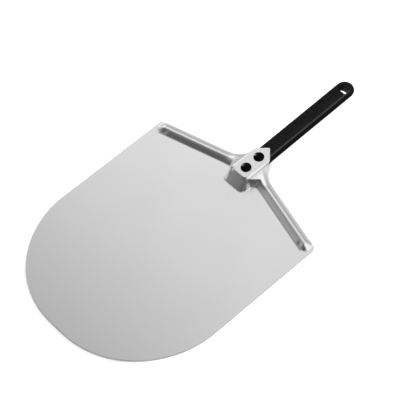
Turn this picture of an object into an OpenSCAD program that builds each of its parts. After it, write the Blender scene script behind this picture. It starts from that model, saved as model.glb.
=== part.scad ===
// Pizza peel: a pressed aluminium head, a moulded handle and the two rivets that join them.
// Millimetres. +Y runs from the blade's nose to the end of the handle, +X across, +Z up.
// The origin is the centre of the blade's underside, so the peel rests on the plane z = 0.

/* [Blade] */
// Width across the straight sides
blade_w = 305; // [295:1:315]
// Length from the nose to the rear corners
blade_l = 320; // [310:1:330]
// Thickness of the sheet
sheet_t = 1.5; // [1.2:0.1:1.6]
// Radius of the flat arc across the nose
nose_r = 555; // [450:5:700]
// Radius of the two front shoulders
shoulder_r = 140; // [125:1:145]
// Angle between the rear edges and the X axis, in degrees
rear_rake = 15; // [13:0.5:17]
// Radius of the two rear corners
rear_corner_r = 7; // [4:0.5:10]

/* [Rear edge] */
// Height of the raised rear edge's crest above the blade's top face
bead_h = 4; // [3:0.25:5]
// Drop from the crest to the trimmed edge
bead_drop = 1.8; // [1:0.1:2]
// Run from the trimmed edge up to the crest
bead_rear_run = 7; // [6:0.25:8]
// Width of the crest
bead_crest_w = 3.5; // [3:0.25:4]
// Run of the front slope, from the crest down to the blade
bead_front_run = 9; // [8:0.5:10]
// Gap between the blade's side and the start of the raised edge
bead_end_gap = 5; // [4:0.5:8]
// Length of the raised edge's sloped end
bead_end_run = 14; // [10:1:16]

/* [Boss] */
// Height of the boss's top face above the rest plane, at the rear rivet
boss_h = 17; // [16.5:0.25:18]
// Width of the boss at its foot
boss_foot_w = 40; // [39:0.5:42]
// Width of the boss at its shoulder, below the rounded top edge
boss_shoulder_w = 33; // [32.5:0.25:34]
// Width of the boss's flat top face
boss_top_w = 25.6; // [24:0.2:28]
// Distance from the foot of the boss's front wall to the front of its top face
boss_front_run = 15.5; // [14:0.5:17]
// Distance from the front of the top face to the front rivet
boss_front_edge = 14; // [13:0.5:14.5]
// Length of the pointed tongue beyond the rear rivet
tongue_l = 21.4; // [19:0.2:23]
// Radius of the sweep from each rear edge up to the tongue
sweep_r = 36; // [30:1:36]
// Reach of each gusset from the centreline
gusset_reach = 42; // [38:1:46]

/* [Handle] */
// Width of the handle
handle_w = 27.5; // [27:0.25:28.5]
// Thickness of the handle
handle_t = 11.75; // [11:0.25:12.5]
// Radius of the handle's long edges
handle_edge_r = 5.5; // [4.5:0.25:5.5]
// Distance from the rear rivet to the end of the handle
handle_reach = 179; // [150:1:220]
// Upward tilt of the handle, in degrees
handle_tilt = 1.2; // [0.8:0.1:1.6]
// Radius of the half-moon hanging hole
hang_hole_r = 8.8; // [7.6:0.2:9.6]
// Distance from the hanging hole's straight side to the end of the handle
hang_hole_inset = 21.5; // [20:0.5:24]

/* [Rivets] */
// Distance between the two rivets
rivet_pitch = 24; // [22:0.5:25]
// Distance from the blade's centre to the rear rivet
rear_rivet_y = 204.2; // [203:0.2:206]
// Diameter of the domed heads
rivet_head_d = 15; // [12:0.5:15.5]
// Height of the domed heads
rivet_head_h = 3; // [2.4:0.1:3.4]
// Height of the upright rim under each dome
rivet_rim_h = 0.9; // [0.4:0.1:1.2]
// Diameter of the shanks
rivet_d = 6; // [5:0.25:6.5]
// Diameter of the rolled tails
rivet_tail_d = 9.4; // [8.5:0.2:10.5]
// Height of the rolled tails
rivet_tail_h = 1.3; // [1:0.1:1.5]
// Bore of the hollow tail end
rivet_bore_d = 3.6; // [3:0.2:4]
// Outer diameter of the washers
washer_d = 12; // [11:0.25:13]
// Thickness of the washers
washer_t = 1; // [0.8:0.1:1.2]

/* [Hidden] */
$fn = 64;
eps = 0.01;                                  // thickness of the slabs that a hull starts from
reach = 400;                                 // longer than any piece, for cutting shapes
half_w = blade_w / 2;
side_y = blade_l / 2;                        // where the side and rear lines would cross
bead_top = sheet_t + bead_h;
seat_z = boss_h - sheet_t;                   // underside of the boss's top, at the rear rivet
top_front = -rivet_pitch - boss_front_edge;  // front of the top face, seen from the rear rivet
boss_foot_y = rear_rivet_y + top_front - boss_front_run;
boss_rear_y = rear_rivet_y + tongue_l + 5;   // past the tongue, so the outline trims the boss
boss_foot_corner_r = 6;
tongue_angle = 45;
hole_clearance = 0.2;                        // on the diameter, between a shank and its holes
washer_seat = 1.2;                           // depth of the recess that holds a washer
handle_root = top_front + 5;                 // front end of the handle, inside the boss
rivet_ys = [-rivet_pitch, 0];                // rivets, seen from the rear rivet
arc_step = 3;                                // largest step along an arc of an outline, in degrees

// Points along an arc, from angle a0 to angle a1
function arc(centre, r, a0, a1) =
  let (n = ceil(abs(a1 - a0) / arc_step))
  [for (i = [0:n]) centre + r * [cos(a0 + (a1 - a0) * i / n), sin(a0 + (a1 - a0) * i / n)]];

function reversed(points) = [for (i = [len(points) - 1:-1:0]) points[i]];
function mirrored(points) = [for (p = points) [-p[0], p[1]]];

// The rear line of the right half: its height at x, and its unit directions
function rear_y(x) = side_y + (half_w - x) * tan(rear_rake);
rear_out = [sin(rear_rake), cos(rear_rake)];

// Half of the head's plan outline, from the centre of the nose round to the tip of the tongue
nose_c = [0, nose_r - side_y];
shoulder_cx = half_w - shoulder_r;
shoulder_c = [shoulder_cx, nose_c[1] - sqrt(pow(nose_r - shoulder_r, 2) - pow(shoulder_cx, 2))];
shoulder_a = atan2(shoulder_c[1] - nose_c[1], shoulder_c[0]);
corner_c = [half_w - rear_corner_r, rear_y(half_w - rear_corner_r) - rear_corner_r / cos(rear_rake)];
tip = [0, rear_rivet_y + tongue_l];
sweep_start = sweep_r + 2.5;                 // |x| where the sweep leaves the rear line
sweep_c = [sweep_start, rear_y(sweep_start)] + sweep_r * rear_out;
// The sweep ends where it meets the tongue's edge, the line through the tip at tongue_angle
tongue_dir = [cos(tongue_angle), -sin(tongue_angle)];
tongue_normal = [sin(tongue_angle), cos(tongue_angle)];
sweep_offset = (sweep_c - tip) * tongue_normal;
sweep_end_a = 180 + tongue_angle - (90 - asin(min(1, sweep_offset / sweep_r)));
half_outline = concat(
  arc(nose_c, nose_r, -90, shoulder_a),
  arc(shoulder_c, shoulder_r, shoulder_a, 0),
  arc(corner_c, rear_corner_r, 0, 90 - rear_rake),
  arc(sweep_c, sweep_r, 270 - rear_rake, sweep_end_a),
  [tip]
);

module head_outline() {
  polygon(concat(half_outline, mirrored(reversed(half_outline))));
}

// The frame of the handle: its origin is on the seat face at the rear rivet
module seat_frame() {
  translate([0, rear_rivet_y, seat_z])
    rotate([handle_tilt, 0, 0])
      children();
}

module both_sides() {
  children();
  mirror([1, 0, 0]) children();
}

// A thin slab, w wide, from y0 to y1, with rounded front corners
module slab(w, y0, y1, r) {
  for (side = [-1, 1]) {
    translate([side * (w / 2 - r), y0 + r, 0]) cylinder(r = r, h = eps, $fn = 32);
    translate([side * w / 2 - (side > 0 ? eps : 0), y1 - eps, 0]) cube(eps);
  }
}

// The boss as a solid, drawn in by inset all round; inset = 0 gives its outside
module boss_form(inset) {
  foot_z = inset > 0 ? -1 : 0;
  edge_drop = 4;                             // height of the rounded top edge
  hull() {
    translate([0, 0, foot_z])
      slab(boss_foot_w - 2 * inset, boss_foot_y + 1.4 * inset, boss_rear_y, boss_foot_corner_r);
    seat_frame() {
      translate([0, 0, sheet_t - edge_drop - eps])
        slab(boss_shoulder_w - 2 * inset, top_front - edge_drop * 0.8 + 1.4 * inset, tongue_l + 5, 4);
      translate([0, 0, sheet_t - inset - eps])
        slab(boss_top_w - 2 * inset * 0.4, top_front + inset * 0.8, tongue_l + 5, 3);
    }
  }
}

// Local frame of the right rear edge: X along the edge from the rear corner, Y forward from it
module rear_edge_frame() {
  translate([half_w, side_y, 0])
    rotate([0, 0, 180 - rear_rake])
      children();
}

// The raised rear edge of one side as a solid; its foot is at z = 0 and its rear runs past the outline
module bead_form() {
  front_v = bead_rear_run + bead_crest_w;
  foot_v = front_v + bead_front_run * bead_top / bead_h;
  bead_l = (half_w - 10) / cos(rear_rake);
  rear_edge_frame() intersection() {
    rotate([90, 0, 90])
      linear_extrude(bead_l)
        polygon([
          [-5, 0],
          [-5, bead_top - bead_drop - 1],
          [0, bead_top - bead_drop],
          [bead_rear_run / 2, bead_top - bead_drop / 4],
          [bead_rear_run, bead_top],
          [front_v, bead_top],
          [foot_v, 0]
        ]);
    translate([0, reach / 2, 0])
      rotate([90, 0, 0])
        linear_extrude(reach)
          polygon([
            [bead_end_gap, 0],
            [bead_end_gap + bead_end_run, bead_top],
            [bead_l, bead_top],
            [bead_l, 0]
          ]);
  }
}

// The gusset between a raised rear edge and the boss's side, drawn in by inset
module gusset_form(inset) {
  foot_z = inset > 0 ? -1 : 0;
  root_h = boss_h - 4 - inset;
  root_front = rear_y(0) - 34 + 1.4 * inset;
  root_rear = rear_rivet_y + 12;
  end_rear = rear_y(gusset_reach);
  end_top = bead_top - inset - foot_z;
  hull() {
    translate([0, root_front, foot_z]) cube([eps, root_rear - root_front, eps]);
    translate([0, root_front + 6, root_h]) cube([boss_shoulder_w / 2, root_rear - root_front - 6, eps]);
    translate([gusset_reach - inset, 0, foot_z]) {
      translate([0, end_rear - bead_rear_run - bead_crest_w, 0]) cube([eps, bead_crest_w, end_top]);
      translate([0, end_rear, 0]) cube([eps, eps, end_top - bead_drop]);
    }
  }
}

// The head: one sheet, so each raised form has a matching hollow under it
module head() color("silver") difference() {
  intersection() {
    linear_extrude(boss_h + 5) head_outline();
    union() {
      translate([-half_w, -side_y - 5, 0]) cube([blade_w, reach, sheet_t]);
      boss_form(0);
      both_sides() {
        bead_form();
        gusset_form(0);
      }
    }
  }
  boss_form(sheet_t);
  both_sides() {
    translate([0, 0, -sheet_t]) bead_form();
    gusset_form(sheet_t);
  }
  seat_frame()
    for (y = rivet_ys)
      translate([0, y, -1]) cylinder(d = rivet_d + hole_clearance, h = boss_h);
}

// The handle: a bar with rounded edges and a full-radius end, drawn in its own frame
module handle_bar() {
  flat_w = handle_w / 2 - handle_edge_r;
  end_y = handle_reach - handle_w / 2;
  hull() {
    for (z = [-handle_edge_r, handle_edge_r - handle_t]) {
      for (x = [-flat_w, flat_w])
        translate([x, handle_root + handle_edge_r, z]) sphere(r = handle_edge_r, $fn = 32);
      translate([0, end_y, z])
        rotate_extrude($fn = 48)
          translate([flat_w, 0]) circle(r = handle_edge_r, $fn = 32);
    }
  }
}

module hanging_hole() {
  translate([0, handle_reach - hang_hole_inset, -handle_t - 1])
    linear_extrude(handle_t + 2)
      intersection() {
        circle(r = hang_hole_r);
        translate([-hang_hole_r, 0]) square([2 * hang_hole_r, 2 * hang_hole_r]);
      }
}

module handle() color([0.06, 0.06, 0.065]) seat_frame() difference() {
  handle_bar();
  hanging_hole();
  for (y = rivet_ys) {
    translate([0, y, -handle_t - 1]) cylinder(d = rivet_d + hole_clearance, h = handle_t + 2);
    translate([0, y, -handle_t - 1]) cylinder(d = washer_d + 0.6, h = washer_seat + 1);
  }
}

// A domed rivet through the boss's top and the handle, its hollow tail rolled over a washer
module rivet(y) color([0.03, 0.03, 0.03]) seat_frame() translate([0, y, 0]) {
  dome_h = rivet_head_h - rivet_rim_h;
  dome_r = (pow(rivet_head_d / 2, 2) + pow(dome_h, 2)) / (2 * dome_h);
  dome_a = asin(rivet_head_d / 2 / dome_r);
  tail_z = -handle_t + washer_seat - washer_t;
  difference() {
    union() {
      translate([0, 0, sheet_t])
        rotate_extrude()
          polygon(concat([[0, 0], [rivet_head_d / 2, 0]],
            arc([0, rivet_head_h - dome_r], dome_r, 90 - dome_a, 90)));
      translate([0, 0, tail_z - rivet_tail_h / 2])
        cylinder(d = rivet_d, h = sheet_t - tail_z + rivet_tail_h / 2);
      translate([0, 0, tail_z - rivet_tail_h])
        cylinder(d1 = rivet_tail_d - rivet_tail_h, d2 = rivet_tail_d, h = rivet_tail_h);
    }
    translate([0, 0, tail_z - rivet_tail_h - 1]) cylinder(d = rivet_bore_d, h = rivet_tail_h + 5);
  }
}

module front_rivet() rivet(rivet_ys[0]);
module rear_rivet() rivet(rivet_ys[1]);

// The washer that spreads a rolled tail over the handle's underside
module washer(y) color("darkgray") seat_frame()
  translate([0, y, -handle_t + washer_seat - washer_t])
    difference() {
      cylinder(d = washer_d, h = washer_t);
      translate([0, 0, -1]) cylinder(d = rivet_d + hole_clearance, h = washer_t + 2);
    }

module front_washer() washer(rivet_ys[0]);
module rear_washer() washer(rivet_ys[1]);

head();
handle();
front_rivet();
rear_rivet();
front_washer();
rear_washer();
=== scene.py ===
"""Pizza peel: a pressed aluminium head riveted to a moulded handle, on a pale floor."""
import math

import bpy
import numpy as np
from mathutils import Matrix, Vector
from mathutils.geometry import delaunay_2d_cdt


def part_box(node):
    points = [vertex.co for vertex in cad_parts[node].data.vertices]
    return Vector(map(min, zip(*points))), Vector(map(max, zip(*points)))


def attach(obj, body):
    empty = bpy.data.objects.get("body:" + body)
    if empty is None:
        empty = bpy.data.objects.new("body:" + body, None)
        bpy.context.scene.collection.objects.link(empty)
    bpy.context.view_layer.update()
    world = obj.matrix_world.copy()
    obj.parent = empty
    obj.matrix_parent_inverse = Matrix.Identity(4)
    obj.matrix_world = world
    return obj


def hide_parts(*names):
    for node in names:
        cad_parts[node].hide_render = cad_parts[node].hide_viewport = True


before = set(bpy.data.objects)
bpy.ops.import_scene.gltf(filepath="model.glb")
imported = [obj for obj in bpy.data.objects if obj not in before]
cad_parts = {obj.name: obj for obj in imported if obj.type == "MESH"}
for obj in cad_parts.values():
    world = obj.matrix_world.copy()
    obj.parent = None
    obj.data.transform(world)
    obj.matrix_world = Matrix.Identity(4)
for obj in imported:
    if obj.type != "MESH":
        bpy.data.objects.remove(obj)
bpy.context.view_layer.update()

MM = 0.001                      # the meshes are worked out in millimetres


def box_mm(node):
    """Lowest and highest corner of a CAD node, in millimetres."""
    lo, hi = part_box(node)
    return np.array(lo) / MM, np.array(hi) / MM


# ------------------------------------------------------------------ sizes
head_lo, head_hi = box_mm("head")
rivet_lo, rivet_hi = box_mm("rear_rivet")
_, handle_hi = box_mm("handle")

SHEET = 1.5                     # thickness of the sheet
HALF_W = head_hi[0]
SIDE_Y = -head_lo[1]            # where the side and rear lines of the outline would cross
NOSE_R = 555.0                  # of the blade's front edge
SHOULDER_R = 140.0              # between the front edge and each side
CORNER_R = 7.0                  # of the rear corners
RAKE = math.radians(15.0)       # between a rear edge and the X axis
SWEEP_R = 36.0                  # from each rear edge up to the tongue
SWEEP_X = 38.5                  # where the sweep leaves the rear line
TONGUE_ROUND = 2.2              # of the tongue's tip
SHOULDER_ROUND = 2.6            # between the sweep and the tongue's edge

TILT = math.radians(1.2)        # of the handle, the boss's top and the rivets
RIVET_HEAD_H = 3.0
RIVET_HEAD_R = 7.5
RIVET_RIM = 0.9                 # upright part of a rivet head's side
RIVET_Y = (rivet_lo[1] + rivet_hi[1]) / 2 + SHEET * math.sin(TILT)
PITCH = 24.0                    # between the two rivets
SHANK_HOLE_R = 3.1              # of the holes for the rivets' shanks
SEAT_Z = rivet_hi[2] - (SHEET + RIVET_HEAD_H) * math.cos(TILT)
TIP_Y = head_hi[1]


# ------------------------------------------------------------------ helpers
def smoothstep(a, b, x):
    t = np.clip((np.asarray(x, float) - a) / (b - a), 0.0, 1.0)
    return t * t * (3 - 2 * t)


def soft_min(a, b, k):
    """The lower of a and b, with the corner between them rounded over a span of k."""
    h = np.clip(1 - np.abs(a - b) / k, 0.0, 1.0)
    return np.minimum(a, b) - h * h * k / 4


def curve_from_slopes(knots):
    """A smooth profile through (position, slope) knots, as a function that starts at 0."""
    at = np.array([k[0] for k in knots], float)
    slope = np.array([k[1] for k in knots], float)
    xs = np.linspace(at[0], at[-1], 600)
    fine = np.interp(xs, at, slope)
    kernel = np.hanning(41)
    kernel /= kernel.sum()
    fine = np.convolve(np.pad(fine, 20, mode="edge"), kernel, mode="valid")
    ys = np.concatenate([[0.0], np.cumsum((fine[1:] + fine[:-1]) / 2 * np.diff(xs))])
    return lambda x: np.interp(x, xs, ys)


def fillet_wall(top_r, foot_r, slope_deg, height):
    """Plan offsets and heights down a wall with a rounded top edge and a rounded foot."""
    s = math.radians(slope_deg)
    top_run = top_r * math.tan(s / 2)
    foot_run = foot_r * math.tan(s / 2)
    a = np.linspace(0, s, 24)
    x_top = top_r * np.sin(a)
    z_top = height - top_r * (1 - np.cos(a))
    wall_run = height / math.tan(s)
    x_foot = top_run + wall_run + foot_run - foot_r * np.sin(a[::-1])
    z_foot = foot_r * (1 - np.cos(a[::-1]))
    return np.concatenate([x_top, x_foot]), np.concatenate([z_top, z_foot])


def mesh_object(name, verts_mm, faces, normals=None, sharp_deg=None):
    mesh = bpy.data.meshes.new(name)
    mesh.from_pydata((np.asarray(verts_mm) * MM).tolist(), [], faces)
    mesh.validate(clean_customdata=False)
    mesh.polygons.foreach_set("use_smooth", [True] * len(mesh.polygons))
    if normals is not None:
        mesh.normals_split_custom_set_from_vertices(np.asarray(normals).tolist())
    elif sharp_deg is not None:
        mesh.set_sharp_from_angle(angle=math.radians(sharp_deg))
    mesh.update()
    obj = bpy.data.objects.new(name, mesh)
    bpy.context.scene.collection.objects.link(obj)
    return obj


def unit(v):
    return v / np.maximum(np.linalg.norm(v, axis=-1, keepdims=True), 1e-12)


# ------------------------------------------------------------------ plan outlines
def arc(cx, cy, r, a0, a1, step, outward=1):
    """Points on an arc with their outward normals; angles in degrees."""
    n = max(2, math.ceil(abs(math.radians(a1 - a0)) * r / step))
    a = np.radians(np.linspace(a0, a1, n + 1))
    radial = np.stack([np.cos(a), np.sin(a)], 1)
    return np.array([cx, cy]) + r * radial, outward * radial


def line(p, q, step):
    """Points on a line with their outward normals; the inside is on the left of p to q."""
    p, q = np.array(p, float), np.array(q, float)
    n = max(1, math.ceil(np.linalg.norm(q - p) / step))
    d = (q - p) / np.linalg.norm(q - p)
    pts = p + np.linspace(0, 1, n + 1)[:, None] * (q - p)
    return pts, np.tile([d[1], -d[0]], (len(pts), 1))


def join(parts):
    """One open run of points and normals, without the doubled points where parts meet."""
    pts, nrm = [parts[0][0][0]], [parts[0][1][0]]
    for p, n in parts:
        for a, b in zip(p, n):
            if np.linalg.norm(a - pts[-1]) > 1e-6:
                pts.append(a)
                nrm.append(b)
    return np.array(pts), np.array(nrm)


def mirror_close(pts, nrm):
    """Closes a half outline that starts and ends on the centreline."""
    left_p, left_n = pts[-2:0:-1] * [-1, 1], nrm[-2:0:-1] * [-1, 1]
    return np.concatenate([pts, left_p]), np.concatenate([nrm, left_n])


def rear_line(x):
    return SIDE_Y + (HALF_W - np.abs(x)) * math.tan(RAKE)


REAR_OUT = np.array([math.sin(RAKE), math.cos(RAKE)])
SWEEP_C = np.array([SWEEP_X, rear_line(SWEEP_X)]) + SWEEP_R * REAR_OUT


def head_outline():
    """The head's trimmed outline, anticlockwise, with outward normals."""
    nose_cy = NOSE_R - SIDE_Y
    sh_x = HALF_W - SHOULDER_R
    sh_y = nose_cy - math.sqrt((NOSE_R - SHOULDER_R) ** 2 - sh_x ** 2)
    sh_a = math.degrees(math.atan2(sh_y - nose_cy, sh_x))
    co_x = HALF_W - CORNER_R
    co_y = rear_line(co_x) - CORNER_R / math.cos(RAKE)
    tip = np.array([0.0, TIP_Y])
    out = np.array([1.0, 1.0]) / math.sqrt(2)          # of the tongue's right edge
    along = np.array([1.0, -1.0]) / math.sqrt(2)       # down that edge, away from the tip
    # the round between the sweep and the tongue's edge touches both
    foot = tip - SHOULDER_ROUND * out - SWEEP_C
    b = foot @ along
    t = -b - math.sqrt(b * b - (foot @ foot - (SWEEP_R + SHOULDER_ROUND) ** 2))
    ro = tip - SHOULDER_ROUND * out + t * along
    sweep_end = math.degrees(math.atan2(*(ro - SWEEP_C)[::-1]))
    rake = math.degrees(RAKE)
    tip_c = [0.0, TIP_Y - TONGUE_ROUND * math.sqrt(2)]
    corner_end = np.array([co_x, co_y]) + CORNER_R * REAR_OUT
    return mirror_close(*join([
        arc(0, nose_cy, NOSE_R, -90, sh_a, 3.0),
        arc(sh_x, sh_y, SHOULDER_R, sh_a, 0, 2.5),
        line([HALF_W, sh_y], [HALF_W, co_y], 6.0),
        arc(co_x, co_y, CORNER_R, 0, 90 - rake, 0.7),
        line(corner_end, [SWEEP_X, rear_line(SWEEP_X)], 1.6),
        arc(*SWEEP_C, SWEEP_R, 270 - rake, sweep_end % 360, 0.6, outward=-1),
        arc(*ro, SHOULDER_ROUND, (sweep_end + 180) % 360, 45, 0.35),
        line(ro + SHOULDER_ROUND * out, np.array(tip_c) + TONGUE_ROUND * out, 0.6),
        arc(*tip_c, TONGUE_ROUND, 45, 90, 0.35),
    ]))


# ------------------------------------------------------------------ the pressed head
# Slopes down from the crest to the trimmed edge, by distance from the crest
ROLL_W = 7.9                    # from the crest to the trimmed edge
roll = curve_from_slopes([(0, 0), (0.7, 0.10), (2.2, 0.24), (4.6, 0.42), (ROLL_W, 0.60)])
# Rise of the raised edge's front wall: 0 at the middle of its foot, 1 at the top bend
RISE_START, RISE_END = -0.24, 1.3
rise_raw = curve_from_slopes([
    (RISE_START, 0), (-0.1, 0.2), (0.16, 1.0), (0.36, 1.0), (0.72, 0.84), (0.94, 0.5),
    (RISE_END, 0)])
RISE_TOTAL = float(rise_raw(RISE_END))
CREST = 4.0                     # of the raised edge, above the blade's top face
CREST_CLIMB = 10.4              # what the crest gains on its way up to the boss
FOOT_BACK = 19.3                # from the rear line to the front wall's foot
BEND_BACK = 12.0                # from the rear line to the front wall's top bend
DENT = 0.75                     # set-back of the front wall near its end
END_X, END_RUN = 149.5, 12.0    # where the raised edge's rounded ends meet the blade


def boss_top(y):
    """Height of the boss's flat top above the blade's top face."""
    return SEAT_Z + (y - RIVET_Y) * math.tan(TILT)


BOSS_TOP_HALF = 12.6            # half-width of the flat top
BOSS_FRONT_Y = RIVET_Y - PITCH - 13.2
WALL_H = 15.0                   # height that both wall profiles are drawn at
SIDE_WALL = fillet_wall(4.0, 1.4, 75.0, WALL_H)
FRONT_WALL = fillet_wall(2.2, 3.0, 48.0, WALL_H)
BOSS_CORNER_R = 5.5             # plan radius of the front corners at the top
BOSS_CORNER_GROWTH = 2.5        # what that radius gains down to the foot
BOSS_BOW = 0.0022               # curve of the boss's front in plan
SIDE_RUN = SIDE_WALL[0][-1]
FRONT_RUN = FRONT_WALL[0][-1]


def boss_height(x, y):
    """The boss: sections that spread from the flat top to the foot, found for each point."""
    ax = np.abs(x)
    lo, hi = np.full(ax.shape, -1.0), np.full(ax.shape, 1.3)

    def section(q):
        r = BOSS_CORNER_R + BOSS_CORNER_GROWTH * np.clip(q, 0, 1)
        dx = ax - (BOSS_TOP_HALF + SIDE_RUN * q - r)
        front = BOSS_FRONT_Y - FRONT_RUN * q + BOSS_BOW * ax ** 2
        dy = (front + r) - y
        outside = np.hypot(np.maximum(dx, 0), np.maximum(dy, 0))
        return outside + np.minimum(np.maximum(dx, dy), 0) - r, dx, dy

    for _ in range(36):
        mid = (lo + hi) / 2
        d, dx, dy = section(mid)
        inside = d < 0
        hi = np.where(inside, mid, hi)
        lo = np.where(inside, lo, mid)
    q = np.clip((lo + hi) / 2, 0, 1)
    _, dx, dy = section(q)
    turn = np.arctan2(np.maximum(dy, 0), np.maximum(dx, 1e-9)) / (math.pi / 2)
    turn = np.where(dx <= 0, 1.0, np.where(dy <= 0, 0.0, turn))
    front = smoothstep(0, 1, turn)
    side_z = np.interp(q * SIDE_RUN, *SIDE_WALL) / WALL_H
    front_z = np.interp(q * FRONT_RUN, *FRONT_WALL) / WALL_H
    return boss_top(y) * (side_z * (1 - front) + front_z * front)


def ridge_height(x, y):
    """The raised rear edge: low along the blade, climbing towards the boss as a gusset."""
    ax = np.abs(x)
    far = rear_line(ax)
    near_x = np.maximum(ax, 15.0)                      # inside this the boss stands higher
    root = BOSS_FRONT_Y
    foot = soft_min(far - FOOT_BACK, root - 0.8 + 0.95 * (near_x - 17.0), 2.5)
    bend = soft_min(far - BEND_BACK, root + 1.2 + 1.6 * (near_x - 16.0), 4.0)
    near = np.clip((41.0 - ax) / 25.0, 0, 1)
    crest = CREST + CREST_CLIMB * near ** 2
    crest = crest * smoothstep(9, 15, ax)
    # the front wall and the rounded end are one wall that turns a corner
    up_front = (RISE_END - (y - foot) / (bend - foot)) / (RISE_END - RISE_START)
    up_end = 1 - (END_X - ax) / END_RUN
    up = 1 - np.hypot(np.maximum(up_front, 0), np.maximum(up_end, 0))
    rise = rise_raw(RISE_START + np.clip(up, 0, 1) * (RISE_END - RISE_START)) / RISE_TOTAL
    # distance from the trimmed edge, along the rear line and then round the sweep
    to_line = (far - y) * math.cos(RAKE)
    px, py = ax - SWEEP_C[0], y - SWEEP_C[1]
    past = px * math.cos(RAKE) - py * math.sin(RAKE) < 0
    edge = np.where(past, np.hypot(px, py) - SWEEP_R, to_line)
    fall = roll(np.clip(ROLL_W - edge, 0, ROLL_W))
    fall = fall * (1 - 0.6 * smoothstep(20, 14, ax)) * smoothstep(END_X, END_X - END_RUN, ax)
    # towards its end the wall is set back a little
    t = (y - foot) / (bend - foot)
    dent = DENT * smoothstep(127.5, 134.0, ax) * smoothstep(150, 140, ax)
    dent = dent * smoothstep(0, 0.35, t) * smoothstep(1.05, 0.6, t)
    return np.maximum(crest * rise - fall - dent, 0)


def head_height(x, y):
    """Top face of the sheet above the blade's top face."""
    x, y = np.asarray(x, float), np.asarray(y, float)
    a, b = boss_height(x, y), ridge_height(x, y)
    k = 1.2 + 2.4 * smoothstep(6, 12, np.minimum(a, b))
    k = k * np.clip(np.minimum(a, b) / k, 1e-3, 1)
    return -soft_min(-a, -b, k)


def head_surface(pts):
    """Top points and unit normals of the sheet over plan points."""
    x, y = pts[:, 0], pts[:, 1]
    h = 0.03
    gx = (head_height(x + h, y) - head_height(x - h, y)) / (2 * h)
    gy = (head_height(x, y + h) - head_height(x, y - h)) / (2 * h)
    n = unit(np.stack([-gx, -gy, np.ones_like(gx)], 1))
    return np.column_stack([x, y, head_height(x, y) + SHEET]), n


def inside_by(pts, loop, margin):
    """Which points lie inside a closed outline by at least margin."""
    a, b = loop, np.roll(loop, -1, axis=0)
    ab = b - a
    len2 = (ab ** 2).sum(1)
    keep = np.zeros(len(pts), bool)
    for i in range(0, len(pts), 2000):
        p = pts[i:i + 2000, None, :]
        ap = p - a
        t = np.clip((ap * ab).sum(2) / len2, 0, 1)
        near = np.hypot(*np.moveaxis(ap - t[..., None] * ab, 2, 0)).min(1)
        up = (a[:, 1] > p[..., 1]) != (b[:, 1] > p[..., 1])
        dy = np.where(ab[:, 1] == 0, 1e-12, ab[:, 1])
        cross = up & (p[..., 0] < a[:, 0] + (p[..., 1] - a[:, 1]) / dy * ab[:, 0])
        keep[i:i + 2000] = (cross.sum(1) % 2 == 1) & (near > margin)
    return keep


def triangulate(loops, inner):
    """Triangles over the first loop less the others, with the loops' points first."""
    pts = np.concatenate(loops + [inner])
    edges, start = [], 0
    for loop in loops:
        n = len(loop)
        edges += [(start + i, start + (i + 1) % n) for i in range(n)]
        start += n
    out, _, tris, origin, _, _ = delaunay_2d_cdt([Vector(p) for p in pts], edges, [], 1, 1e-7)
    back = [o[0] for o in origin]
    tris = np.array([[back[i] for i in t] for t in tris])
    centre = pts[tris].mean(1)
    keep = np.ones(len(tris), bool)
    for loop in loops[1:]:
        keep &= ~inside_by(centre, loop, 0.0)
    tris = tris[keep]
    a, b, c = (pts[tris[:, i]] for i in range(3))
    area = (b[:, 0] - a[:, 0]) * (c[:, 1] - a[:, 1]) - (b[:, 1] - a[:, 1]) * (c[:, 0] - a[:, 0])
    tris[area < 0] = tris[area < 0][:, ::-1]
    return pts, tris[np.abs(area) > 1e-7]


def circle(cx, cy, r, n):
    a = np.linspace(0, 2 * math.pi, n, endpoint=False)
    return np.stack([cx + r * np.cos(a), cy + r * np.sin(a)], 1)


def strip(ring_a, ring_b):
    """Quads between two closed rings of vertex numbers."""
    a2, b2 = np.roll(ring_a, -1), np.roll(ring_b, -1)
    return [tuple(int(v) for v in q) for q in zip(ring_a, ring_b, b2, a2)]


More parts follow.
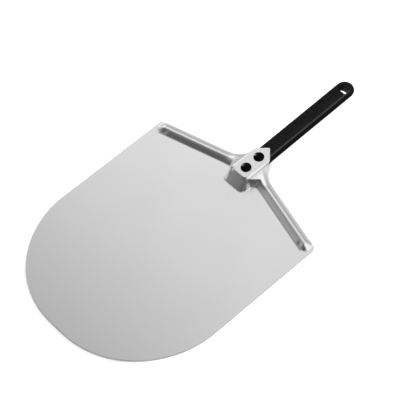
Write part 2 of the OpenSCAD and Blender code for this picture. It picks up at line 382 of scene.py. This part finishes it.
def build_head():
    rim_r = 0.4                                        # of the deburred edges
    outline, out_n = head_outline()
    loop = outline - rim_r * out_n
    holes = [circle(0, RIVET_Y + y * math.cos(TILT), SHANK_HOLE_R, 32)
             for y in (0, -PITCH)]

    # interior points: wide on the flat blade, close over the pressed forms
    gx, gy = np.meshgrid(np.arange(-153, 154, 9.0), np.arange(-160, 230, 9.0))
    blade = np.stack([gx.ravel(), gy.ravel()], 1)
    far = blade[:, 1] < rear_line(blade[:, 0]) - 26
    boss_zone = (np.abs(blade[:, 0]) < 28) & (blade[:, 1] > BOSS_FRONT_Y - 24)
    blade = blade[far & ~boss_zone]
    rows = np.concatenate([np.arange(0.9, 12.6, 0.6), np.arange(12.6, 22.4, 0.75)])
    cos_r, sin_r = math.cos(RAKE), math.sin(RAKE)
    us = np.concatenate([np.arange(0.8, 27, 0.8), np.arange(27, 112, 2.2)])
    gu, gp = np.meshgrid(us, rows)
    bx = HALF_W - gu * cos_r - gp * sin_r
    by = SIDE_Y + gu * sin_r - gp * cos_r
    bead = np.stack([bx.ravel(), by.ravel()], 1)
    bead = bead[(bead[:, 0] > 46.5) & (bead[:, 0] < HALF_W - 1)]
    gx, gy = np.meshgrid(np.arange(-45.9, 46, 0.45), np.arange(BOSS_FRONT_Y - 19, TIP_Y, 0.45))
    mid = np.stack([gx.ravel(), gy.ravel()], 1)
    ax = np.abs(mid[:, 0])
    mid = mid[(ax < 24) | (mid[:, 1] > rear_line(ax) - 24)]
    inner = np.concatenate([blade, bead, bead * [-1, 1], mid])
    inner = inner[inside_by(inner, loop, 0.28)]
    for c in holes:
        inner = inner[~inside_by(inner, circle(*c.mean(0), 3.45, 32), 0.0)]

    pts, tris = triangulate([loop] + holes, inner)
    top, n = head_surface(pts)
    bottom = top - SHEET * n
    count = len(pts)
    verts, normals = [top, bottom], [n, -n]
    faces = [tuple(int(v) for v in t) for t in tris]
    faces += [tuple(int(v) + count for v in t[::-1]) for t in tris]

    # the rim: a small round at each face and a flat between them
    m = len(loop)
    edge_n = n[:m]
    tangent = unit(np.roll(top[:m], -1, axis=0) - np.roll(top[:m], 1, axis=0))
    side = unit(np.cross(tangent, edge_n))
    rings, total = [np.arange(m)], 2 * count
    steps = np.radians([30, 60, 90])
    for face, sign in ((top[:m], 1), (bottom[:m], -1)):
        centre = face - sign * rim_r * edge_n
        for a in (steps if sign > 0 else steps[::-1]):
            ring_n = sign * math.cos(a) * edge_n + math.sin(a) * side
            verts.append(centre + rim_r * ring_n)
            normals.append(ring_n)
            rings.append(np.arange(total, total + m))
            total += m
    rings.append(np.arange(count, count + m))
    for a, b in zip(rings, rings[1:]):
        faces += strip(a, b)
    start = m
    for c in holes:
        ring = np.arange(start, start + len(c))
        faces += strip(ring + count, ring)
        start += len(c)
    return mesh_object("head_sheet", np.concatenate(verts), faces, np.concatenate(normals))


# ------------------------------------------------------------------ the handle
HANDLE_HALF = handle_hi[0]
HANDLE_T = 11.75
HANDLE_ROOT = -33.0             # along the handle, from the rear rivet
HANDLE_END = (handle_hi[1] - RIVET_Y) / math.cos(TILT) - HANDLE_T / 2 * math.tan(TILT)
ROOT_R = 7.2                    # plan radius of the two corners inside the boss
EDGE_RUN = 6.2                  # how far the rounded edges reach in
SIDE_RUN_IN = 1.5               # the part of that which the side's rings cover
CROWN = 0.3                     # rise of the top and bottom faces to the middle
HOLE_Y = 157.5                  # straight side of the hanging hole
HOLE_R = 8.8                    # of its round side
HOLE_ROUND = 1.7                # of the hole's two corners
RIM_R = 1.0                     # of the hole's moulded rims
WASHER_SEAT_R = 6.3
WASHER_SEAT = 1.2               # depth of the recess that holds a washer
WASHER_T = 1.0
CIRCLE_N = 40


def place(v):
    """From the handle's own frame, on the seat face at the rear rivet, to the shared frame."""
    return tilted(v) + [0, RIVET_Y, SEAT_Z]


def tilted(v):
    c, s = math.cos(TILT), math.sin(TILT)
    return np.column_stack([v[:, 0], v[:, 1] * c - v[:, 2] * s, v[:, 1] * s + v[:, 2] * c])


def handle_outline():
    """Outline of the handle in plan: small corners inside the boss, round at the far end."""
    w, end_cy = HANDLE_HALF, HANDLE_END - HANDLE_HALF
    return mirror_close(*join([
        line([0, HANDLE_ROOT], [w - ROOT_R, HANDLE_ROOT], 1.2),
        arc(w - ROOT_R, HANDLE_ROOT + ROOT_R, ROOT_R, -90, 0, 0.8),
        line([w, HANDLE_ROOT + ROOT_R], [w, end_cy], 1.8),
        arc(0, end_cy, w, 0, 90, 0.7),
    ]))


def handle_inset(p):
    """Distance of plan points inside the handle's outline."""
    ax, y = np.abs(p[:, 0]), p[:, 1]
    end_cy = HANDLE_END - HANDLE_HALF
    at_end = HANDLE_HALF - np.hypot(ax, np.maximum(y - end_cy, 0))
    dx, dy = ax - (HANDLE_HALF - ROOT_R), HANDLE_ROOT + ROOT_R - y
    corner = ROOT_R - np.hypot(np.maximum(dx, 0), np.maximum(dy, 0)) - np.minimum(
        np.maximum(dx, dy), 0)
    return np.minimum(at_end, corner)


def handle_face(p):
    """Height of the top face above the handle's middle plane, over plan points."""
    d = handle_inset(p)
    t = np.clip(1 - d / EDGE_RUN, 0, 1)
    return HANDLE_T / 2 * np.sqrt(1 - t * t) + CROWN * smoothstep(EDGE_RUN - 2, HANDLE_HALF, d)


def half_moon():
    """The hanging hole's outline, with normals that point away from the hole."""
    fy = HOLE_Y + HOLE_ROUND
    fx = math.sqrt((HOLE_R - HOLE_ROUND) ** 2 - (fy - HOLE_Y) ** 2)
    a = math.degrees(math.atan2(fy - HOLE_Y, fx))
    return mirror_close(*join([
        line([0, HOLE_Y], [fx, HOLE_Y], 0.8),
        arc(fx, fy, HOLE_ROUND, -90, a, 0.3),
        arc(0, HOLE_Y, HOLE_R, a, 90, 0.7),
    ]))


class MeshParts:
    """Collects points, normals and faces; add() gives back the new points' numbers."""

    def __init__(self):
        self.points, self.normals, self.faces, self.total = [], [], [], 0

    def add(self, points, normals):
        self.points.append(points)
        self.normals.append(normals)
        self.total += len(points)
        return np.arange(self.total - len(points), self.total)

    def band(self, ring_a, ring_b):
        self.faces.extend(strip(ring_a, ring_b))


def handle_cap(parts, side_ring, loop, top):
    """One face of the handle with its hole rims. Gives the rings where its holes go on."""
    sign = 1 if top else -1
    hole, hole_n = half_moon()
    rivet_r = SHANK_HOLE_R if top else WASHER_SEAT_R
    circles = [circle(0, y, rivet_r, CIRCLE_N) for y in (0, -PITCH)]
    rim = hole + RIM_R * hole_n
    ys = np.concatenate([np.arange(HANDLE_ROOT, -24, 0.9), np.arange(-24, 138, 1.6),
                         np.arange(138, HANDLE_END, 0.9)])
    gx, gy = np.meshgrid(np.arange(-13.5, 13.6, 0.75), ys)
    inner = np.stack([gx.ravel(), gy.ravel()], 1)
    inner = inner[inside_by(inner, loop, 0.3)]
    for c in [rim] + circles:
        inner = inner[~inside_by(inner, c.mean(0) + (c - c.mean(0)) * 1.05, 0.0)]
    pts, tris = triangulate([loop, rim] + circles, inner)

    h = 0.04
    gx = (handle_face(pts + [h, 0]) - handle_face(pts - [h, 0])) / (2 * h)
    gy = (handle_face(pts + [0, h]) - handle_face(pts - [0, h])) / (2 * h)
    z = -HANDLE_T / 2 + sign * handle_face(pts)
    n = unit(np.column_stack([-gx, -gy, np.ones(len(gx))])) * [1, 1, sign]
    m, k = len(loop), len(rim)
    ids = np.concatenate([side_ring, parts.add(np.column_stack([pts[m:], z[m:]]), n[m:])])
    for t in tris:
        parts.faces.append(tuple(int(ids[v]) for v in (t if top else t[::-1])))

    # from the face over the rim, down into the hole
    slope = -(gx[m:m + k] * hole_n[:, 0] + gy[m:m + k] * hole_n[:, 1])
    ring, z0 = ids[m:m + k], z[m:m + k]
    for t in (0.25, 0.5, 0.75, 1.0):
        go_in = RIM_R * (2 * t - t * t)
        go_up = RIM_R * (slope * (2 * t - t * t) - t * t)
        d_in, d_up = 2 - 2 * t, slope * (2 - 2 * t) - 2 * t
        norm = np.column_stack([-hole_n * -d_up[:, None], np.full(k, d_in)])
        norm[:, 2] *= sign
        nxt = parts.add(np.column_stack([rim - go_in * hole_n, z0 + sign * go_up]), unit(norm))
        parts.band(*((nxt, ring) if top else (ring, nxt)))
        ring = nxt
    first = m + k
    return ring, [ids[first + CIRCLE_N * i:first + CIRCLE_N * (i + 1)] for i in (0, 1)]


def build_handle():
    parts = MeshParts()
    outline, out_n = handle_outline()
    start = math.acos(1 - SIDE_RUN_IN / EDGE_RUN)
    rings = []
    for phi in np.linspace(start, -start, 15):
        inset = EDGE_RUN * (1 - math.cos(phi))
        z = -HANDLE_T / 2 + HANDLE_T / 2 * math.sin(phi)
        norm = np.column_stack([out_n * math.cos(phi) / EDGE_RUN,
                                np.full(len(out_n), math.sin(phi) * 2 / HANDLE_T)])
        flat = outline - inset * out_n
        rings.append(parts.add(np.column_stack([flat, np.full(len(flat), z)]), unit(norm)))
    for a, b in zip(rings, rings[1:]):
        parts.band(a, b)
    loop = outline - SIDE_RUN_IN * out_n
    top_rim, top_circles = handle_cap(parts, rings[0], loop, True)
    low_rim, low_circles = handle_cap(parts, rings[-1], loop, False)
    parts.band(low_rim, top_rim)

    # the washers' recesses and the holes for the rivets' shanks
    floor_z = -HANDLE_T + WASHER_SEAT
    for y, upper, lower in zip((0, -PITCH), top_circles, low_circles):
        wide, narrow = (circle(0, y, r, CIRCLE_N) for r in (WASHER_SEAT_R, SHANK_HOLE_R))
        inward = -unit(np.column_stack([wide - [0, y], np.zeros(CIRCLE_N)]))
        down = np.tile([0.0, 0.0, -1.0], (CIRCLE_N, 1))
        level = np.full(CIRCLE_N, floor_z)
        lip = parts.add(np.column_stack([wide, level - WASHER_SEAT + 0.05]), inward)
        deep = parts.add(np.column_stack([wide, level]), inward)
        seat = parts.add(np.column_stack([narrow, level]), down)
        parts.band(lower, lip)
        parts.band(lip, deep)
        parts.band(deep, seat)
        parts.band(seat, upper)
    verts, normals = np.concatenate(parts.points), np.concatenate(parts.normals)
    return mesh_object("handle_bar", place(verts), parts.faces, tilted(normals))


# ------------------------------------------------------------------ rivets and washers
def profile_arc(cx, cz, r, a0, a1, n):
    a = np.radians(np.linspace(a0, a1, n + 1))
    return list(zip(cx + r * np.cos(a), cz + r * np.sin(a)))


def lathe(name, profile, y, segments=72, closed=False, sharp=40):
    """Turns a profile of (radius, height) about the rivet's axis at y along the handle."""
    verts, faces, rings = [], [], []
    turn = np.linspace(0, 2 * math.pi, segments, endpoint=False)
    for r, z in profile:
        if r < 1e-6:
            rings.append([len(verts)])
            verts.append((0.0, y, z))
        else:
            rings.append(list(range(len(verts), len(verts) + segments)))
            verts += [(r * math.cos(t), y + r * math.sin(t), z) for t in turn]
    pairs = list(zip(rings, rings[1:] + rings[:1])) if closed else list(zip(rings, rings[1:]))
    for a, b in pairs:
        for i in range(segments):
            j = (i + 1) % segments
            if len(a) == 1:
                faces.append((a[0], b[i], b[j]))
            elif len(b) == 1:
                faces.append((a[i], b[0], a[j]))
            else:
                faces.append((a[i], b[i], b[j], a[j]))
    return mesh_object(name, place(np.array(verts)), faces, sharp_deg=sharp)


def build_rivet(name, y):
    head_r, h, z0 = RIVET_HEAD_R, RIVET_HEAD_H, SHEET
    rim = 0.55                                         # round between the dome and the side
    dome_h = h - RIVET_RIM
    dome_r = ((head_r - 0.15) ** 2 + dome_h ** 2) / (2 * dome_h)
    dome_a = math.degrees(math.asin((head_r - rim) / dome_r))
    dome = profile_arc(0, z0 + h - dome_r, dome_r, 90, 90 - dome_a, 16)
    dome[0] = (0.0, z0 + h)
    last_r, last_z = dome[-1]
    side = profile_arc(head_r - rim, z0 + rim + 0.05, rim, 62, 0, 6)
    shift = last_z - side[0][1]
    side = [(r, z + min(shift, 0)) for r, z in side]
    shank_r = 3.0
    tail = -HANDLE_T + WASHER_SEAT - WASHER_T          # the washer's lower face
    roll_r = 0.65                                      # of the tail rolled over the washer
    profile = dome + side + [(head_r, z0 + 0.02), (head_r - 0.05, z0), (shank_r, z0)]
    profile += [(shank_r, tail), (4.2, tail - 0.01)]
    profile += profile_arc(4.05, tail - roll_r, roll_r, 80, -90, 8)
    profile += profile_arc(2.45, tail - roll_r, roll_r, -90, -180, 5)
    profile += [(1.8, tail + 3.2), (0.0, tail + 3.7)]
    return lathe(name, profile, y)


def build_washer(name, y):
    z0 = -HANDLE_T + WASHER_SEAT - WASHER_T
    z1 = z0 + WASHER_T
    r0, r1, e = 3.1, 6.0, 0.18                         # inner and outer radius, edge break
    profile = [(r0, z0 + e), (r0 + e, z0), (r1 - e, z0), (r1 - 0.3 * e, z0 + 0.3 * e),
               (r1, z0 + e), (r1, z1 - e), (r1 - e, z1), (r0 + e, z1), (r0, z1 - e)]
    return lathe(name, profile[::-1], y, closed=True)


# ------------------------------------------------------------------ materials
def new_material(name):
    mat = bpy.data.materials.new(name)
    mat.use_nodes = True
    tree = mat.node_tree
    bsdf = next(n for n in tree.nodes if n.type == "BSDF_PRINCIPLED")
    return mat, tree, bsdf


def add_node(tree, kind, **values):
    node = tree.nodes.new(kind)
    for key, value in values.items():
        if key in node.inputs:
            node.inputs[key].default_value = value
        else:
            setattr(node, key, value)
    return node


def coords(tree, scale):
    """Object coordinates in metres, stretched by scale."""
    tex = tree.nodes.new("ShaderNodeTexCoord")
    mapping = tree.nodes.new("ShaderNodeMapping")
    mapping.inputs["Scale"].default_value = scale
    tree.links.new(tex.outputs["Object"], mapping.inputs["Vector"])
    return mapping.outputs["Vector"]


def noise(tree, scale_xyz, detail=3.0, rough=0.5):
    node = add_node(tree, "ShaderNodeTexNoise", Scale=1.0, Detail=detail, Roughness=rough)
    tree.links.new(coords(tree, scale_xyz), node.inputs["Vector"])
    return node.outputs["Fac"]


def remap(tree, value, a, b, c, d):
    node = add_node(tree, "ShaderNodeMapRange")
    for i, v in enumerate((a, b, c, d), start=1):
        node.inputs[i].default_value = v
    tree.links.new(value, node.inputs[0])
    return node.outputs[0]


def math_node(tree, op, a, b):
    node = add_node(tree, "ShaderNodeMath", operation=op)
    for i, v in enumerate((a, b)):
        if isinstance(v, (int, float)):
            node.inputs[i].default_value = v
        else:
            tree.links.new(v, node.inputs[i])
    return node.outputs[0]


def aluminium():
    mat, tree, bsdf = new_material("satin_aluminium")
    bsdf.inputs["Metallic"].default_value = 1.0
    bsdf.inputs["Base Color"].default_value = (0.9, 0.9, 0.9, 1)
    grain = noise(tree, (3200, 90, 3200), detail=4)
    fine = noise(tree, (9000, 300, 9000), detail=2)
    cloud = noise(tree, (14, 10, 14), detail=3)
    # never below 0.275: under about 0.274 the render's noise filter leaves patches
    rough = math_node(tree, "ADD", remap(tree, grain, 0.3, 0.7, 0.275, 0.285),
                      remap(tree, cloud, 0.3, 0.7, 0.0, 0.02))
    tree.links.new(rough, bsdf.inputs["Roughness"])
    bump = add_node(tree, "ShaderNodeBump", Strength=0.006, Distance=0.00002)
    tree.links.new(math_node(tree, "ADD", grain, fine), bump.inputs["Height"])
    tree.links.new(bump.outputs["Normal"], bsdf.inputs["Normal"])
    return mat


def nylon():
    mat, tree, bsdf = new_material("moulded_nylon")
    bsdf.inputs["Specular IOR Level"].default_value = 0.06
    mottle = noise(tree, (420, 420, 420), detail=3)
    tree.links.new(remap(tree, mottle, 0.35, 0.65, 0.0002, 0.0042), bsdf.inputs["Base Color"])
    grain = noise(tree, (1400, 1400, 1400), detail=4)
    rough = remap(tree, grain, 0.3, 0.7, 0.31, 0.39)
    tree.links.new(rough, bsdf.inputs["Roughness"])
    bump = add_node(tree, "ShaderNodeBump", Strength=0.25, Distance=0.00006)
    tree.links.new(grain, bump.inputs["Height"])
    tree.links.new(bump.outputs["Normal"], bsdf.inputs["Normal"])
    return mat


def black_paint():
    mat, tree, bsdf = new_material("black_lacquer")
    bsdf.inputs["Base Color"].default_value = (0.0006, 0.0006, 0.0006, 1)
    bsdf.inputs["Specular IOR Level"].default_value = 0.06
    grain = noise(tree, (500, 500, 500), detail=3)
    tree.links.new(remap(tree, grain, 0.3, 0.7, 0.16, 0.24), bsdf.inputs["Roughness"])
    bump = add_node(tree, "ShaderNodeBump", Strength=0.15, Distance=0.00005)
    tree.links.new(grain, bump.inputs["Height"])
    tree.links.new(bump.outputs["Normal"], bsdf.inputs["Normal"])
    return mat


def zinc_steel():
    mat, tree, bsdf = new_material("zinc_steel")
    bsdf.inputs["Metallic"].default_value = 1.0
    bsdf.inputs["Base Color"].default_value = (0.55, 0.55, 0.56, 1)
    grain = noise(tree, (900, 900, 900), detail=4)
    tree.links.new(remap(tree, grain, 0.3, 0.7, 0.28, 0.42), bsdf.inputs["Roughness"])
    return mat


FLOOR_WHITE = 0.93
SHADE_REACH = 0.008             # metres over which the shade before the nose fades
NEAR_FLOOR = 0.03               # metres; shorter reflection rays pass through the floor


def floor_white():
    """White to the eye, dim in reflections, and painted with a soft shade before the nose."""
    mat, tree, bsdf = new_material("floor_white")
    # the soft shade in front of the nose, by distance from its outline in metres
    split = tree.nodes.new("ShaderNodeSeparateXYZ")
    tree.links.new(tree.nodes.new("ShaderNodeNewGeometry").outputs["Position"], split.inputs[0])
    px, py = split.outputs[0], split.outputs[1]

    def m(operation, a, b=0.0):
        return math_node(tree, operation, a, b)

    shoulder_y = (NOSE_R - SIDE_Y - math.sqrt((NOSE_R - SHOULDER_R) ** 2
                                             - (HALF_W - SHOULDER_R) ** 2)) * MM
    dx = m("MAXIMUM", m("SUBTRACT", m("ABSOLUTE", px), (HALF_W - SHOULDER_R) * MM), 0.0)
    dy = m("SUBTRACT", py, shoulder_y)
    from_shoulder = m("SQRT", m("ADD", m("MULTIPLY", dx, dx), m("MULTIPLY", dy, dy)))
    ny = m("SUBTRACT", py, (NOSE_R - SIDE_Y) * MM)
    from_nose = m("SQRT", m("ADD", m("MULTIPLY", px, px), m("MULTIPLY", ny, ny)))
    gap = m("MAXIMUM", m("SUBTRACT", from_shoulder, SHOULDER_R * MM),
            m("SUBTRACT", from_nose, NOSE_R * MM))
    fade = m("EXPONENT", m("MULTIPLY", m("MAXIMUM", gap, 0.0), -1 / SHADE_REACH))
    ahead = remap(tree, m("DIVIDE", dy, from_shoulder), -0.45, -0.85, 0.0, 0.47)
    ahead.node.interpolation_type = "SMOOTHSTEP"
    shade = m("SUBTRACT", FLOOR_WHITE, m("MULTIPLY", m("MULTIPLY", fade, ahead), FLOOR_WHITE))
    tree.links.new(shade, bsdf.inputs["Base Color"])
    bsdf.inputs["Roughness"].default_value = 0.9
    bsdf.inputs["Specular IOR Level"].default_value = 0.05
    dim = add_node(tree, "ShaderNodeBsdfDiffuse", Color=(0.30, 0.30, 0.30, 1))
    path = tree.nodes.new("ShaderNodeLightPath")
    mix = tree.nodes.new("ShaderNodeMixShader")
    tree.links.new(path.outputs["Is Glossy Ray"], mix.inputs[0])
    tree.links.new(bsdf.outputs[0], mix.inputs[1])
    tree.links.new(dim.outputs[0], mix.inputs[2])
    # from below the floor can be looked through, and it doesn't shade the peel's underside
    geometry = tree.nodes.new("ShaderNodeNewGeometry")
    close = m("MULTIPLY", m("LESS_THAN", path.outputs["Ray Length"], NEAR_FLOOR),
              path.outputs["Is Glossy Ray"])
    see_through = m("MAXIMUM", geometry.outputs["Backfacing"], close)
    clear = tree.nodes.new("ShaderNodeBsdfTransparent")
    one_sided = tree.nodes.new("ShaderNodeMixShader")
    tree.links.new(see_through, one_sided.inputs[0])
    tree.links.new(mix.outputs[0], one_sided.inputs[1])
    tree.links.new(clear.outputs[0], one_sided.inputs[2])
    out = next(n for n in tree.nodes if n.type == "OUTPUT_MATERIAL")
    tree.links.new(one_sided.outputs[0], out.inputs["Surface"])
    return mat


# ------------------------------------------------------------------ assemble
def finish_piece(obj, material, slot, *nodes):
    obj.data.materials.append(material)
    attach(obj, "root")
    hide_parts(*nodes)
    return obj


head = finish_piece(build_head(), aluminium(), "head_aluminium", "head")
handle = finish_piece(build_handle(), nylon(), "handle_nylon", "handle")
paint, steel = black_paint(), zinc_steel()
rivets = []
for which, along in (("rear", 0.0), ("front", -PITCH)):
    rivet = build_rivet(f"{which}_rivet_turned", along)
    rivets.append(finish_piece(rivet, paint, "rivet_black", f"{which}_rivet"))
    finish_piece(build_washer(f"{which}_washer_turned", along), steel, "washer_steel",
                 f"{which}_washer")

# ------------------------------------------------------------------ stage
floor_mesh = bpy.data.meshes.new("floor")
FLOOR_HALF = 6.0
floor_mesh.from_pydata([(-FLOOR_HALF, -FLOOR_HALF, 0), (FLOOR_HALF, -FLOOR_HALF, 0),
                        (FLOOR_HALF, FLOOR_HALF, 0), (-FLOOR_HALF, FLOOR_HALF, 0)],
                       [], [(0, 1, 2, 3)])
floor = bpy.data.objects.new("floor", floor_mesh)
floor.location.z = -0.0002      # just under the blade, so the two faces don't meet
bpy.context.scene.collection.objects.link(floor)
floor_mesh.materials.append(floor_white())


def area_light(name, direction, distance, size_xy, power, in_reflections, target=(0, 0.03, 0),
               only=(), shadows_from=()):
    """A lamp aimed at target; it can be kept to some pieces, and so can its shadows."""
    light = bpy.data.lights.new(name, "AREA")
    light.shape = "RECTANGLE"
    light.size, light.size_y = size_xy
    light.energy = power
    obj = bpy.data.objects.new(name, light)
    d = Vector(direction).normalized()
    obj.location = Vector(target) + d * distance
    obj.rotation_mode = "QUATERNION"
    obj.rotation_quaternion = (-d).to_track_quat("-Z", "Y")
    obj.visible_camera = False
    obj.visible_glossy = in_reflections
    bpy.context.scene.collection.objects.link(obj)
    if only:
        lit = bpy.data.collections.new(name + "_lights_only")
        for piece in only:
            lit.objects.link(piece)
        obj.light_linking.receiver_collection = lit
    if shadows_from:
        blockers = bpy.data.collections.new(name + "_shadows_from")
        for piece in shadows_from:
            blockers.objects.link(piece)
        obj.light_linking.blocker_collection = blockers


area_light("overhead", (-0.1, 0.25, 0.95), 2.5, (3.0, 3.0), 112, False,
           shadows_from=[head])
area_light("handle_glint", (0.12, 0.34, 0.93), 2.0, (0.8, 0.5), 42, True,
           target=(0, 0.28, 0), only=[handle])
area_light("rivet_glint", (-0.91, 0.21, 0.36), 1.2, (0.22, 0.35), 11, True,
           target=(0, 0.19, 0), only=rivets)


def studio_world():
    """A dim studio of soft areas, each placed by the direction it lies in from the peel."""
    world = bpy.data.worlds.new("studio")
    bpy.context.scene.world = world
    world.use_nodes = True
    tree = world.node_tree
    background = next(n for n in tree.nodes if n.type == "BACKGROUND")
    where = tree.nodes.new("ShaderNodeTexCoord").outputs["Generated"]
    split = tree.nodes.new("ShaderNodeSeparateXYZ")
    tree.links.new(where, split.inputs[0])
    x, y, z = (split.outputs[i] for i in range(3))

    def ramp(value, a, b, c, d):
        out = remap(tree, value, a, b, c, d)
        out.node.interpolation_type = "SMOOTHSTEP"
        return out

    def times(*values):
        total = values[0]
        for v in values[1:]:
            total = math_node(tree, "MULTIPLY", total, v)
        return total

    def lobe(direction, inner, outer, strength):
        dot = add_node(tree, "ShaderNodeVectorMath", operation="DOT_PRODUCT")
        dot.inputs[1].default_value = Vector(direction).normalized()
        tree.links.new(where, dot.inputs[0])
        return ramp(dot.outputs["Value"], math.cos(math.radians(outer)),
                    math.cos(math.radians(inner)), 0, strength)

    parts = [
        # a wide soft area on the left, and one overhead towards the rear
        times(ramp(x, -0.15, -0.95, 0.05, 0.46), ramp(y, 0.36, 0.52, 1, 0.35)),
        times(ramp(y, 0.212, 0.34, 0, 0.97), ramp(y, 0.42, 0.53, 1, 0.12),
              ramp(z, 0.2, 0.45, 0, 1), ramp(x, 0.86, 0.66, 0, 1)),
        # low behind the peel, and two fills for the raised edges
        times(ramp(z, 0.60, 0.2, 0, 0.60), ramp(y, 0.35, 0.7, 0, 1)),
        times(ramp(x, -0.52, -0.38, 0, 0.22), ramp(y, 0.46, 0.56, 0, 1)),
        ramp(x, -0.66, -0.88, 0, 0.30),
        # for the wing and the wall on the boss's right
        lobe((0.30, 0.34, 0.89), 15, 32, 0.44),
        lobe((0.90, 0.34, 0.25), 10, 30, 0.40),
        # for the blade as seen from above and from the handle's end
        lobe((0.14, -0.04, 0.99), 8, 22, 0.40),
        lobe((0.66, -0.70, 0.27), 5, 12, 0.38),
        lobe((0.0, -0.88, 0.48), 8, 20, 0.12),
    ]
    total = parts[0]
    for part in parts[1:]:
        total = math_node(tree, "ADD", total, part)
    # below the horizon, one even light for the underside
    total = times(total, ramp(z, -0.10, -0.40, 1, 0))
    total = math_node(tree, "ADD", total, ramp(z, -0.30, -0.55, 0, 0.70))
    tree.links.new(total, background.inputs["Color"])
    background.inputs["Strength"].default_value = 1.0


studio_world()

# ------------------------------------------------------------------ camera
FOCAL_PX, IMAGE_PX, SENSOR = 1617.12, 400.0, 36.0
LOOK_AT, CAMERA_DISTANCE = Vector((-0.01366, 0.106126, 0.0015)), 2.18415
camera_data = bpy.data.cameras.new("camera")
camera = bpy.data.objects.new("camera", camera_data)
bpy.context.scene.collection.objects.link(camera)
AZ, EL, ROLL = math.radians(53.715), math.radians(54.775), math.radians(-7.702)
back = Vector((math.sin(AZ) * math.cos(EL), -math.cos(AZ) * math.cos(EL), math.sin(EL)))
right = Vector((math.cos(AZ), math.sin(AZ), 0))
up = back.cross(right)
right, up = (right * math.cos(ROLL) + up * math.sin(ROLL),
             up * math.cos(ROLL) - right * math.sin(ROLL))
camera.matrix_world = Matrix((
    (right.x, up.x, back.x, 0), (right.y, up.y, back.y, 0), (right.z, up.z, back.z, 0),
    (0, 0, 0, 1)))
camera.location = LOOK_AT + back * CAMERA_DISTANCE
camera_data.sensor_width = SENSOR
camera_data.lens = SENSOR * FOCAL_PX / IMAGE_PX
camera_data.clip_start, camera_data.clip_end = 0.05, 50.0
bpy.context.scene.camera = camera
bpy.context.scene.view_settings.view_transform = "Standard"

bpy.context.view_layer.update()
